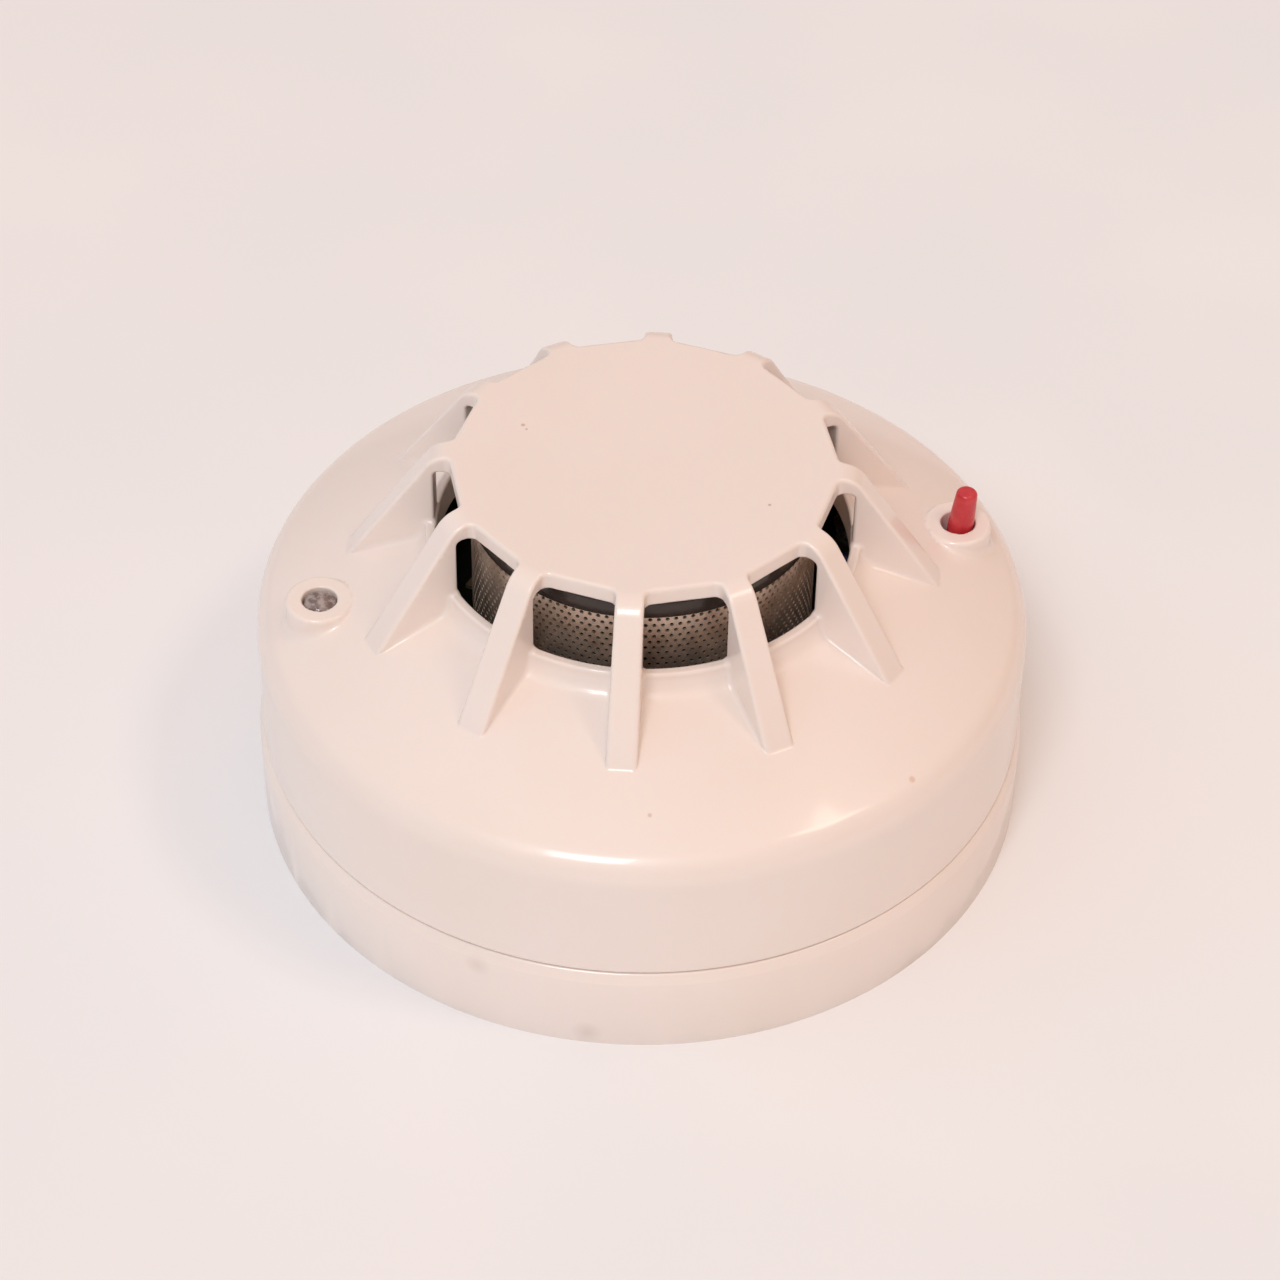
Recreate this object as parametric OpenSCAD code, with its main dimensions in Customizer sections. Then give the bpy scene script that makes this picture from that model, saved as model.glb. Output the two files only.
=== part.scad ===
// Point fire detector: a vented detector head that twist-locks onto a round mounting base.
// Z = 0 is the mounting face, +Z points away from the ceiling, and the X axis runs
// from the status lamp (-X) to the test button (+X).

/* [Mounting base] */
// Outside diameter of the base
base_d = 102; // [94:1:125]
// Height of the base's side wall
base_h = 12.6; // [10.8:0.1:15.8]
// Thickness of the base's side wall
base_wall = 2.6; // [2:0.1:3]
// How far the base's upper rim leans in
base_rim_w = 0.7; // [0.4:0.1:1.2]
// How far down the base's side the lean begins
base_rim_h = 1.6; // [0.8:0.1:2]
// Thickness of the base's floor
floor_t = 2.6; // [2:0.1:3.2]
// Diameter of the central cable entry
entry_d = 20; // [16:0.5:22]
// Height of the collar round the cable entry
entry_h = 5; // [3.5:0.5:6]
// Distance between the centres of the two slotted fixing holes
slot_spacing = 60; // [54:1:66]
// Width of a fixing slot
slot_w = 4.4; // [3.5:0.1:5]
// End-to-end length of a fixing slot
slot_len = 14; // [8:0.5:16]

/* [Twist lock] */
// Number of locking lugs
lug_count = 4; // [3:1:5]
// Angle that one lug covers
lug_angle = 14; // [8:1:16]
// Turn from locked to free, in degrees
twist_angle = 18; // [17:1:22]
// Thickness of a retaining ledge on the base
ledge_t = 1.8; // [1.2:0.1:2]
// Thickness of a lug on the head
lug_t = 2.1; // [1.5:0.1:2.2]
// Clearance between a lug and its ledge
lug_gap = 0.3; // [0.2:0.05:0.5]

/* [Head cover] */
// Inset of the head's side below the base's side
head_inset = 0.6; // [0.2:0.1:2]
// Open line between the base and the head
head_gap = 0.2; // [0.2:0.05:1]
// Wall thickness of the cover
wall = 2.2; // [1.6:0.1:2.6]
// Height from the cover's lower edge to where the dome meets the side
side_h = 17.7; // [15.9:0.1:21.9]
// Rise of the dome from the side to the foot of the vent collar
dome_rise = 9.5; // [7.5:0.1:12]
// Radius of the shoulder between side and dome
shoulder_r = 4.5; // [3.5:0.1:6]
// Height of the vent collar above the dome
collar_h = 2.7; // [2.2:0.1:4]
// Wall thickness of the vent collar
collar_wall = 1.3; // [1:0.1:1.6]
// Radius of the fillet at the foot of the collar
collar_fillet = 2.8; // [1:0.1:3.5]
// Height of the air windows
window_h = 8.4; // [7:0.1:10.2]

/* [Vent disc and fins] */
// Thickness of the disc over the vent
disc_t = 2.5; // [2:0.1:3.5]
// Distance that the disc's edge stands out past the inner ends of the fins
disc_lip = 0.5; // [0.2:0.1:1.2]
// Number of fins
fin_count = 12; // [8:1:14]
// Thickness of a fin at the disc
fin_top_t = 3.5; // [2.5:0.1:4.5]
// Thickness of a fin at its foot
fin_foot_t = 4.0; // [2.5:0.1:5]
// Radial length of a fin's foot on the dome, from the collar out
fin_foot_len = 10.4; // [8:0.2:12.5]
// Distance from the disc's edge to where a fin's slope would meet its top
fin_reach = 2.3; // [1.5:0.1:4]
// Radius of the bend at the top of a fin
fin_bend_r = 4; // [2:0.5:5]

/* [Lamp and test button] */
// Distance of the two bosses from the axis
boss_r = 42.2; // [41:0.1:43]
// Diameter of a boss
boss_d = 8.8; // [8:0.1:9.4]
// Clearance on diameter between the status lamp and its hole
lamp_play = 0.3; // [0.1:0.05:0.6]
// Height of the button above its boss
button_proud = 5.2; // [3:0.1:7]
// Diameter of the button at its top
button_top_d = 2.8; // [2.2:0.1:3]
// Diameter of the button where it leaves the boss
button_d = 3.4; // [2.8:0.1:4.1]
// Clearance on diameter between the button and its hole
button_play = 1.1; // [0.9:0.05:1.4]
// Outward lean of the button, in degrees
button_lean = 5; // [0:0.5:5]
// Travel of the button
button_travel = 1.2; // [0.5:0.1:1.4]

/* [Circuit board] */
// Gap between the board's edge and the cover's side
board_gap = 2.2; // [1:0.1:3]
// Thickness of the circuit board
board_t = 1.6; // [1:0.1:1.8]
// Height of the board above the back moulding
standoff_h = 5.7; // [5:0.1:7]
// Thickness of the back moulding
back_t = 2; // [1.6:0.1:2.4]

/* [Smoke chamber] */
// Outside diameter of the insect screen
screen_d = 44.4; // [37:0.2:54]
// Gap between the chamber cover and the fins
chamber_air = 1.5; // [0.8:0.1:1.8]
// Width of the open sill between the fins' inner ends and the collar
sill_reach = 2.7; // [2:0.1:3.4]
// Thickness of the insect screen
screen_t = 0.3; // [0.2:0.05:0.4]
// Number of labyrinth vanes
vane_count = 30; // [24:1:32]
// Thickness of a vane
vane_t = 0.8; // [0.6:0.1:1]
// Thickness of the chamber cover
lid_t = 2.7; // [2.2:0.1:3]
// Height of the chamber's floor above the board
chamber_leg = 7.8; // [6:0.2:9]
// Angle of the infrared emitter
emitter_angle = 200; // [190:5:210]
// Angle of the photodiode
receiver_angle = 335; // [325:5:340]

/* [Hidden] */
$fn = 96;

// heights
cover_z = base_h + head_gap;
back_drop = 1.55;
back_z = cover_z - back_drop;
back_top = back_z + back_t;
board_z = back_top + standoff_h;
board_top = board_z + board_t;
side_z = cover_z + side_h;
sill_z = side_z + dome_rise + collar_h;
disc_z = sill_z + window_h;
top_z = disc_z + disc_t;
chamber_z = board_top + chamber_leg;
chamber_floor_t = 1.6;
lid_gap = 1.4;
lid_top = disc_z - lid_gap;
lid_z = lid_top - lid_t;

// vent radii, from the insect screen out
screen_r = screen_d / 2;
screen_in = screen_r - screen_t;
lid_r = screen_r + 0.3;
fin_in_r = lid_r + chamber_air;
disc_r = fin_in_r + disc_lip;
collar_in = fin_in_r + sill_reach;
collar_r = collar_in + collar_wall;
fin_foot_r = collar_r + fin_foot_len;

// dome: a circle about the axis through the top of the side and the foot of the collar
head_r = base_d / 2 - head_inset;
side_in = head_r - wall;
dome_top_z = side_z + dome_rise;
dome_c = (pow(head_r, 2) - pow(collar_r, 2) + pow(side_z, 2) - pow(dome_top_z, 2))
  / (2 * (side_z - dome_top_z));
dome_radius = sqrt(pow(head_r, 2) + pow(side_z - dome_c, 2));
shoulder_x = head_r - shoulder_r;
shoulder_z = dome_c + sqrt(pow(dome_radius - shoulder_r, 2) - pow(shoulder_x, 2));
fillet_r = min(collar_fillet, collar_h + 0.2);
fillet_x = collar_r + fillet_r;
fillet_z = dome_c + sqrt(pow(dome_radius + fillet_r, 2) - pow(fillet_x, 2));
edge = 0.5;
boss_sink = 0.25;
boss_z = dome_c + sqrt(pow(dome_radius, 2) - pow(boss_r - boss_d / 2, 2)) - boss_sink;
boss_hole_d = button_d + button_play;

// twist lock
wall_in = base_d / 2 - base_wall;
ledge_top = base_h - 2.6;
ledge_z = ledge_top - ledge_t;
lug_top = ledge_z - lug_gap;
lug_z = lug_top - lug_t;
lug_out = wall_in - 0.4;
ring_out = lug_out - 2.8;
ring_in = ring_out - 3.7;
ledge_in = ring_out + 0.5;
ledge_angle = lug_angle + 2.5;
lug_turn = 30;

// terminals
terminal_turn = 45;
terminal_count = 4;
terminal_x = 29.5;
block_top = floor_t + 1.4;
contact_t = 0.8;
contact_w = 7;
contact_out = ring_in - 0.6;
contact_top = block_top + contact_t;
clamp_t = 1;
terminal_head_h = 2;
terminal_screw_r = 1.5;
blade_gap = 0.3;
blade_t = 0.8;
blade_w = 5;
blade_x = ring_in - 2.2;
blade_foot_z = contact_top + blade_gap;
tail_w = 2;
slip = 0.15;
rivet_r = 1.1;

// screws and pillars
pillar_x = 36;
pillar_r = 3;
pillar_turn = 90;
pillar_count = 3;
screw_r = 1.1;
thread_gap = 0.05;
hole_gap = 0.4;
pan_r = 2.6;
pan_h = 1.7;
screw_bite = 9;
standoff_x = 38;
standoff_turn = 30;
board_screw_r = 1;
board_pan_r = 2.3;
board_pan_h = 1.5;
board_bite = 4;

// chamber
lid_lip = 0.7;
lip_in = screen_in - 1.2;
vane_out = lip_in - 0.2;
vane_len = 3;
optic_z = chamber_z + chamber_floor_t + 6.2;
led_r = 2.5;
led_tip = 10.5;
led_len = 8;
holder_w = 7.4;
holder_in = 11;
holder_out = 18.2;
lead_r = 0.28;
lead_gap = 0.22;
lead_pitch = 2.54;

// button and switch
sleeve_z = boss_z - 7.4;
sleeve_r = 3.9;
pin_x = boss_r + button_play / 2 - 0.1;
flange_r = 2.9;
flange_t = 0.8;
flange_u = (sleeve_z - 0.4 - boss_z) / cos(button_lean);
switch_w = 6;
switch_h = 3.8;
switch_cover_t = 0.3;
switch_top = board_top + switch_h + switch_cover_t;
stem_r = 1.4;
stem_h = 1.5;
stem_top = switch_top + stem_h;
button_end_u = (stem_top - boss_z) / cos(button_lean);
switch_x = pin_x - (boss_z - stem_top) * tan(button_lean);

// lamp
lamp_d = boss_hole_d - lamp_play;
lamp_tip = boss_z + 0.5;
lamp_flange_h = 1;
lamp_base = sleeve_z - lamp_flange_h - 0.2;
lamp_cup_r = 1.1;
lamp_neck_z = lamp_tip - lamp_d / 2;

// thermistors and board parts
sensor_x = (collar_in + lid_r) / 2;
sensor_pitch = 1.8;
part_x = screen_r + 8.8;
near_x = screen_r + 3.8;
far_x = side_in - board_gap - 4.5;

function arc(cx, cy, r, a0, a1, n) =
  [for (i = [0:n]) [cx + r * cos(a0 + (a1 - a0) * i / n), cy + r * sin(a0 + (a1 - a0) * i / n)]];
function dome_angle(x, r) = acos(x / r);
function dome_z(x, r) = dome_c + sqrt(r * r - x * x);

module ring(r_out, r_in, z, h) {
  translate([0, 0, z]) difference() {
    cylinder(r = r_out, h = h);
    translate([0, 0, -1]) cylinder(r = r_in, h = h + 2);
  }
}

module disc(r, z, h) { translate([0, 0, z]) cylinder(r = r, h = h); }

module around(count, turn, x = 0) {
  for (i = [0:count - 1]) rotate(turn + i * 360 / count) translate([x, 0, 0]) children();
}

// A plate whose lower corner is [x, y, z] and whose size is [dx, dy, dz], centred on Y
module slab(x, z, dx, dy, dz) { translate([x, -dy / 2, z]) cube([dx, dy, dz]); }

// A sector of a ring, centred on the X axis
module sector(r_out, r_in, angle, z, h) {
  rotate(-angle / 2) translate([0, 0, z]) rotate_extrude(angle = angle)
    translate([r_in, 0]) square([r_out - r_in, h]);
}

// ---------- mounting base ----------

module base_dish() {
  // the rim leans in with a small round at each end of the slope
  rim = [[0, 1], [0.07, 0.88], [0.2, 0.74], [0.68, 0.14], [0.8, 0.05], [1, 0]];
  rotate_extrude() polygon(concat(
    [[entry_d / 2, 0], [base_d / 2, 0]],
    [for (p = rim) [base_d / 2 - p[0] * base_rim_w, base_h - p[1] * base_rim_h]],
    [[wall_in, base_h], [wall_in, floor_t], [entry_d / 2 + 2, floor_t],
     [entry_d / 2 + 2, entry_h], [entry_d / 2, entry_h]]));
}

module slot_cut() {
  run = (slot_len - slot_w) / 2;
  for (side = [-1, 1]) translate([side * slot_spacing / 2, 0, -1]) {
    for (end = [-run, run]) translate([end, 0, 0]) cylinder(d = slot_w, h = floor_t + 2);
    slab(-run, 0, 2 * run, slot_w, floor_t + 2);
  }
}

module terminal_blocks() {
  around(terminal_count, terminal_turn)
    slab(terminal_x - 4, floor_t - 0.5, contact_out - terminal_x + 4, contact_w + 1, block_top - floor_t + 0.5);
}

module lock_ledges() {
  around(lug_count, lug_turn) {
    sector(wall_in + 1, ledge_in, ledge_angle, ledge_z, ledge_t);
    rotate(-ledge_angle / 2 + 0.6)
      sector(wall_in + 1, ledge_in, 1, floor_t - 0.5, ledge_z - floor_t + 0.6);
  }
}

module mounting_base() {
  color("#efe2d6") difference() {
    union() {
      base_dish();
      terminal_blocks();
      lock_ledges();
    }
    slot_cut();
    around(terminal_count, terminal_turn, terminal_x)
      disc(terminal_screw_r + thread_gap, floor_t - 1.6, 6);
  }
}

module terminal_contacts() {
  color("#c9a35a") around(terminal_count, terminal_turn) difference() {
    union() {
      slab(terminal_x - 3.5, block_top, contact_out - terminal_x + 3.5, contact_w, contact_t);
      slab(terminal_x - 3.5, block_top, contact_t, contact_w, contact_t + 1.4);
    }
    translate([terminal_x, 0, 0]) disc(terminal_screw_r + 0.2, block_top - 1, 3);
  }
}

module wire_clamps() {
  color("#b9bcc0") around(terminal_count, terminal_turn, terminal_x) difference() {
    slab(-2.6, contact_top, 5.6, 5.8, clamp_t);
    disc(terminal_screw_r + 0.2, contact_top - 1, 3);
  }
}

module terminal_screws() {
  head_z = contact_top + clamp_t;
  color("#c4c6c9") around(terminal_count, terminal_turn, terminal_x) difference() {
    union() {
      disc(2.7, head_z, terminal_head_h);
      disc(terminal_screw_r, floor_t - 1.4, head_z - floor_t + 1.5);
    }
    slab(-4, head_z + terminal_head_h - 0.9, 8, 0.8, 2);
    slab(-0.4, head_z + terminal_head_h - 0.9, 0.8, 4, 2);
  }
}

// ---------- head mouldings ----------

module cover_shell() {
  r_in = dome_radius - wall;
  a_shoulder = dome_angle(shoulder_x, dome_radius - shoulder_r);
  a_fillet = dome_angle(fillet_x, dome_radius + fillet_r);
  rotate_extrude() polygon(concat(
    [[head_r - edge, cover_z], [head_r, cover_z + edge]],
    arc(shoulder_x, shoulder_z, shoulder_r, 0, a_shoulder, 6),
    arc(0, dome_c, dome_radius, a_shoulder, a_fillet, 8),
    arc(fillet_x, fillet_z, fillet_r, 180 + a_fillet, 180, 5),
    [[collar_r, sill_z], [collar_in, sill_z]],
    arc(0, dome_c, r_in, dome_angle(collar_in, r_in), a_shoulder, 8),
    arc(shoulder_x, shoulder_z, shoulder_r - wall, a_shoulder, 0, 5),
    [[side_in, cover_z]]));
}

// Everything below the middle of the cover's wall
module under_dome() {
  r_mid = dome_radius - wall / 2;
  rotate_extrude() polygon(concat([[0, 0], [head_r - wall / 2, 0]],
    arc(0, dome_c, r_mid, dome_angle(head_r - wall / 2, r_mid), 90, 12)));
}

module fins() {
  foot_z = dome_z(fin_foot_r, dome_radius);
  crest_x = disc_r + fin_reach;
  slope = atan((top_z - foot_z) / (fin_foot_r - crest_x));
  bend_r = min(fin_bend_r, fin_reach / tan(slope / 2));
  mid_x = collar_r - collar_wall / 2;
  r_mid = dome_radius - wall / 2;
  intersection() {
    rotate_extrude() polygon(concat(
      [[fin_foot_r, dome_z(fin_foot_r, r_mid)], [fin_foot_r, foot_z]],
      arc(crest_x - bend_r * tan(slope / 2), top_z - bend_r, bend_r, 90 - slope, 90, 6),
      [[fin_in_r - 1, top_z], [fin_in_r - 1, disc_z + 0.4], [collar_in + 0.15, disc_z + 0.4],
       [collar_in + 0.15, sill_z - 1], [mid_x, sill_z - 1], [mid_x, dome_z(mid_x, r_mid)]]));
    around(fin_count, 180 / fin_count) translate([0, 0, cover_z]) linear_extrude(top_z)
      polygon([[fin_in_r - 2, -fin_top_t / 2], [fin_foot_r + 1, -fin_foot_t / 2],
               [fin_foot_r + 1, fin_foot_t / 2], [fin_in_r - 2, fin_top_t / 2]]);
  }
}

module cover_pillars() {
  intersection() {
    around(pillar_count, pillar_turn, pillar_x) disc(pillar_r, back_top, sill_z);
    under_dome();
  }
}

module head_cover() {
  boss_foot_z = dome_z(boss_r + boss_d / 2, dome_radius) - 1;
  color("#f1e0d4") difference() {
    union() {
      cover_shell();
      fins();
      disc(disc_r, disc_z, disc_t);
      cover_pillars();
      for (side = [-1, 1]) translate([side * boss_r, 0, 0]) {
        disc(sleeve_r, sleeve_z, boss_z - sleeve_z - 1);
        disc(boss_d / 2, boss_foot_z, boss_z - boss_foot_z);
      }
    }
    for (side = [-1, 1]) translate([side * boss_r, 0, 0]) {
      disc(boss_d / 2, boss_z, 5);
      disc(boss_hole_d / 2, sleeve_z - 1, 20);
    }
    around(pillar_count, pillar_turn, pillar_x)
      disc(screw_r + thread_gap, back_top - 1, screw_bite + 2);
  }
}

module head_back() {
  color("#e9dccf") difference() {
    union() {
      disc(side_in - 0.4, back_z, back_t);
      ring(ring_out, ring_in, lug_z, back_z - lug_z + 0.5);
      around(lug_count, lug_turn) sector(lug_out, ring_out - 1, lug_angle, lug_z, lug_t);
      around(pillar_count, standoff_turn, standoff_x) disc(pillar_r, back_z + 1, board_z - back_z - 1);
    }
    around(pillar_count, pillar_turn, pillar_x) disc(screw_r + hole_gap, back_z - 1, back_t + 2);
    around(pillar_count, standoff_turn, standoff_x)
      disc(board_screw_r + thread_gap, board_z - board_bite - 0.5, board_bite + 2);
    around(terminal_count, terminal_turn) {
      slab(blade_x - slip, back_z - 1, blade_t + 2 * slip, tail_w + 2 * slip, back_t + 2);
      translate([blade_x - 4, 0, 0]) disc(rivet_r + thread_gap, back_z - 1, back_t + 2);
    }
  }
}

module contact_blades() {
  color("#d2b06a") around(terminal_count, terminal_turn) difference() {
    union() {
      slab(blade_x, blade_foot_z, blade_t, blade_w, back_z - blade_foot_z);
      slab(blade_x, back_z - 0.5, blade_t, tail_w, board_top + 0.8 - back_z + 0.5);
      slab(blade_x - 2.6, blade_foot_z, 2.8, blade_w, blade_t);
      slab(blade_x - 6.2, back_z - blade_t, 6.4, blade_w, blade_t);
    }
    translate([blade_x - 4, 0, 0]) disc(rivet_r + thread_gap, back_z - 3, 4);
  }
}

module blade_rivets() {
  color("#c0a060") around(terminal_count, terminal_turn, blade_x - 4) {
    disc(rivet_r, back_z - blade_t, back_t + blade_t);
    disc(2, back_z - blade_t - 0.6, 0.6);
    disc(1.8, back_top, 0.6);
  }
}

module pan_screws(count, turn, x, shank_r, shank_z, shank_h, head_r, head_h, up) {
  head_z = up ? shank_z + shank_h : shank_z - head_h;
  drive_z = up ? head_z + head_h - 0.8 : head_z - 1;
  around(count, turn, x) difference() {
    union() {
      disc(shank_r, shank_z, shank_h);
      disc(head_r, head_z, head_h);
    }
    slab(-1.4, drive_z, 2.8, 0.6, 1.8);
    slab(-0.3, drive_z, 0.6, 2.8, 1.8);
  }
}

module cover_screws() {
  color("#8f9296") pan_screws(pillar_count, pillar_turn, pillar_x, screw_r, back_z,
    back_t + screw_bite, pan_r, pan_h, false);
}

module board_screws() {
  color("#8f9296") pan_screws(pillar_count, standoff_turn, standoff_x, board_screw_r,
    board_top - board_t - board_bite, board_t + board_bite, board_pan_r, board_pan_h, true);
}

// ---------- circuit board ----------

module board_hole(x, y, r) { translate([x, y, 0]) disc(r, board_z - 1, board_t + 2); }

module lead_holes(x, pitch) { for (side = [-1, 1]) board_hole(x, side * pitch / 2, lead_r + lead_gap); }

module circuit_board() {
  color("#2f6b45") difference() {
    disc(side_in - board_gap, board_z, board_t);
    around(pillar_count, pillar_turn, pillar_x) board_hole(0, 0, pillar_r + hole_gap);
    around(pillar_count, standoff_turn, standoff_x) board_hole(0, 0, board_screw_r + 0.2);
    around(terminal_count, terminal_turn)
      slab(blade_x - slip, board_z - 1, blade_t + 2 * slip, tail_w + 2 * slip, board_t + 2);
    rotate(emitter_angle) lead_holes(led_tip + led_len + 0.8, lead_pitch);
    rotate(receiver_angle) lead_holes(led_tip + led_len + 0.8, lead_pitch);
    rotate(90) lead_holes(sensor_x, sensor_pitch);
    rotate(15) lead_holes(part_x, sensor_pitch);
    translate([-boss_r, 0, 0]) lead_holes(0, lead_pitch);
  }
}

// ---------- smoke chamber ----------

module vane() {
  translate([0, 0, chamber_z + 1]) linear_extrude(lid_z + lid_lip - chamber_z - 1) polygon([
    [vane_out, 0], [vane_out - vane_len / 2, vane_t], [vane_out - vane_len, -vane_t],
    [vane_out - vane_len, -2 * vane_t], [vane_out - vane_len / 2, 0], [vane_out, -vane_t]]);
}

module holder(angle) {
  rotate(angle) difference() {
    slab(holder_in, chamber_z + 1, holder_out - holder_in, holder_w, optic_z + 3.4 - chamber_z - 1);
    translate([holder_in - 1, 0, optic_z]) rotate([0, 90, 0]) cylinder(r = led_r + 0.1, h = 10);
  }
}

function clear_of(a, b) = abs((a - b + 540) % 360 - 180) > 17;

module chamber_base() {
  step = 360 / vane_count;
  color("#1c1c1e") difference() {
    union() {
      disc(screen_r, chamber_z, chamber_floor_t);
      ring(screen_in - 0.1, screen_in - 0.8, chamber_z + 1, chamber_floor_t);
      ring(screen_in - 1.3, screen_in - 3.3, board_top, chamber_z - board_top + 0.5);
      for (i = [0:vane_count - 1])
        if (clear_of(i * step, emitter_angle) && clear_of(i * step, receiver_angle))
          rotate(i * step) vane();
      holder(emitter_angle);
      holder(receiver_angle);
    }
    for (a = [emitter_angle, receiver_angle]) rotate(a)
      slab(led_tip + led_len + 0.3, board_top - 1, 1, lead_pitch + 1, chamber_z - board_top + 4);
  }
}

module chamber_cover() {
  round_r = 0.6;
  color("#17171a") rotate_extrude() polygon(concat(
    [[0, lid_z + lid_lip], [lip_in, lid_z + lid_lip], [lip_in, lid_z],
     [lid_r - 0.2, lid_z], [lid_r, lid_z + 0.2]],
    arc(lid_r - round_r, lid_top - round_r, round_r, 0, 90, 4),
    [[0, lid_top]]));
}

module insect_screen() {
  color("#7a6a5c")
    ring(screen_r, screen_in, chamber_z + chamber_floor_t, lid_z - chamber_z - chamber_floor_t);
}

// A pair of leads that run back from a part on the optical axis and down through the board
module bent_leads(x, z) {
  for (side = [-1, 1]) translate([0, side * lead_pitch / 2, 0]) {
    translate([x - 0.3, 0, z]) rotate([0, 90, 0]) cylinder(r = lead_r, h = 1.1);
    translate([x + 0.8, 0, z]) sphere(r = lead_r);
    translate([x + 0.8, 0, board_z - 0.8]) cylinder(r = lead_r, h = z - board_z + 0.8);
  }
}

module infrared_emitter() {
  color("#4a5a78") rotate(emitter_angle) {
    translate([led_tip + led_r, 0, optic_z]) rotate([0, 90, 0]) cylinder(r = led_r, h = led_len - led_r);
    translate([led_tip + led_r, 0, optic_z]) sphere(r = led_r);
    bent_leads(led_tip + led_len, optic_z);
  }
}

module photodiode() {
  color("#26262c") rotate(receiver_angle) {
    translate([led_tip + 3, 0, optic_z]) rotate([0, 90, 0]) cylinder(r = led_r - 0.5, h = led_len - 3);
    translate([led_tip + 3, 0, optic_z]) sphere(r = led_r - 0.7);
    bent_leads(led_tip + led_len, optic_z);
  }
}

module photodiode_shield() {
  color("#c7c9cc") rotate(receiver_angle) translate([led_tip + 4, 0, optic_z]) rotate([0, 90, 0])
    difference() {
      cylinder(r = led_r, h = led_len - 4);
      translate([0, 0, -1]) cylinder(r = led_r - 0.4, h = led_len);
    }
}

// ---------- thermistors ----------

module thermistor(x, bead_z) {
  translate([x, 0, 0]) {
    for (side = [-1, 1]) translate([0, side * sensor_pitch / 2, 0])
      disc(lead_r, board_z - 0.8, bead_z - board_z + 0.8);
    translate([0, 0, bead_z]) sphere(r = 1.2);
  }
}

module sensing_thermistor() { color("#2b3d7a") rotate(90) thermistor(sensor_x, sill_z + 3); }

module reference_thermistor() { color("#2b3d7a") rotate(15) thermistor(part_x, board_top + 4); }

// ---------- status lamp ----------

module status_lamp() {
  color("#8d8484") translate([-boss_r, 0, 0]) difference() {
    union() {
      disc(lamp_d / 2, lamp_base, lamp_neck_z - lamp_base);
      translate([0, 0, lamp_neck_z]) sphere(r = lamp_d / 2);
      disc(lamp_d / 2 + 0.4, lamp_base, lamp_flange_h);
    }
    disc(lamp_cup_r + 0.1, lamp_base - 1, lamp_neck_z - lamp_base - 0.1);
  }
}

module lamp_leads() {
  cup_z = lamp_neck_z - 2.6;
  color("#b8bac0") translate([-boss_r, 0, 0]) {
    difference() {
      disc(lamp_cup_r, cup_z, 1.4);
      translate([0, 0, cup_z + 0.6]) cylinder(r1 = 0.4, r2 = 0.9, h = 1);
    }
    disc(lamp_cup_r, lamp_base - 0.3, 1.1);
    disc(0.4, lamp_base + 0.4, cup_z - lamp_base);
    for (side = [-1, 1]) translate([0, side * lead_pitch / 2, 0]) {
      disc(lead_r, board_z - 0.8, lamp_base - board_z + 0.7);
      translate([0, -side * 0.3, 0]) slab(-lead_r, lamp_base - 0.3, 2 * lead_r, 1.1, 0.25);
    }
  }
}

module lamp_spacer() {
  color("#222224") translate([-boss_r, 0, 0]) difference() {
    disc(2.6, board_top, lamp_base - board_top - 0.3);
    for (side = [-1, 1]) translate([0, side * lead_pitch / 2, 0])
      disc(lead_r + 0.1, board_top - 1, lamp_base - board_top + 2);
  }
}

// ---------- test button ----------

module test_switch() {
  color("#232326") translate([switch_x, 0, 0]) difference() {
    slab(-switch_w / 2, board_top, switch_w, switch_w, switch_h);
    disc(stem_r + 0.3, board_top + 1, switch_h);
  }
}

module switch_cover() {
  color("#c9cacc") translate([switch_x, 0, 0]) difference() {
    slab(-switch_w / 2, board_top + switch_h, switch_w, switch_w, switch_cover_t);
    disc(stem_r + 0.3, board_top + switch_h - 1, 3);
  }
}

module switch_plunger() {
  color("#3a3a3e") translate([switch_x, 0, 0])
    disc(stem_r, board_top + 1 + button_travel + 0.3, stem_top - board_top - 1.3 - button_travel);
}

module test_button() {
  tip_r = 0.6;
  top_r = button_top_d / 2;
  color("#c8323a") translate([pin_x, 0, boss_z]) rotate([0, button_lean, 0]) rotate_extrude()
    polygon(concat(
      [[0, button_end_u + 0.15], [1.2, button_end_u + 0.15], [1.2, flange_u - flange_t],
       [flange_r, flange_u - flange_t], [flange_r, flange_u], [button_d / 2, flange_u],
       [button_d / 2, 0]],
      arc(top_r - tip_r, button_proud - tip_r, tip_r, 0, 90, 5),
      [[0, button_proud]]));
}

// ---------- board components ----------

module on_board(angle, x) { rotate(angle) translate([x, 0, board_top]) children(); }

module chip(w, d, h) { translate([-w / 2, -d / 2, 0]) cube([w, d, h]); }

// A packaged chip with a row of legs on two sides
module leaded_chip(w, d, h, legs, pitch) {
  translate([0, 0, 0.15]) chip(w, d, h);
  for (side = [-1, 1], i = [0:legs - 1])
    translate([side * (w / 2 + 0.5), (i - (legs - 1) / 2) * pitch, 0]) {
      translate([-side * 0.25, 0, 0]) chip(1.1, 0.4, 0.15);
      translate([-side * 0.5, 0, 0]) chip(0.4, 0.4, 0.6);
    }
}

module microcontroller() { color("#1f1f22") on_board(300, part_x) leaded_chip(7, 7.6, 1.2, 8, 0.8); }

module line_driver_chip() { color("#1f1f22") on_board(245, part_x) leaded_chip(4, 5, 1.4, 4, 1.27); }

module bridge_rectifier() { color("#26262a") on_board(345, part_x) leaded_chip(6.4, 8, 2.5, 2, 5.1); }

module capacitors() {
  color("#c3c6cb") {
    on_board(60, part_x) cylinder(r = 3.6, h = 9.2);
    on_board(118, part_x) cylinder(r = 2.8, h = 7.2);
  }
}

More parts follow.
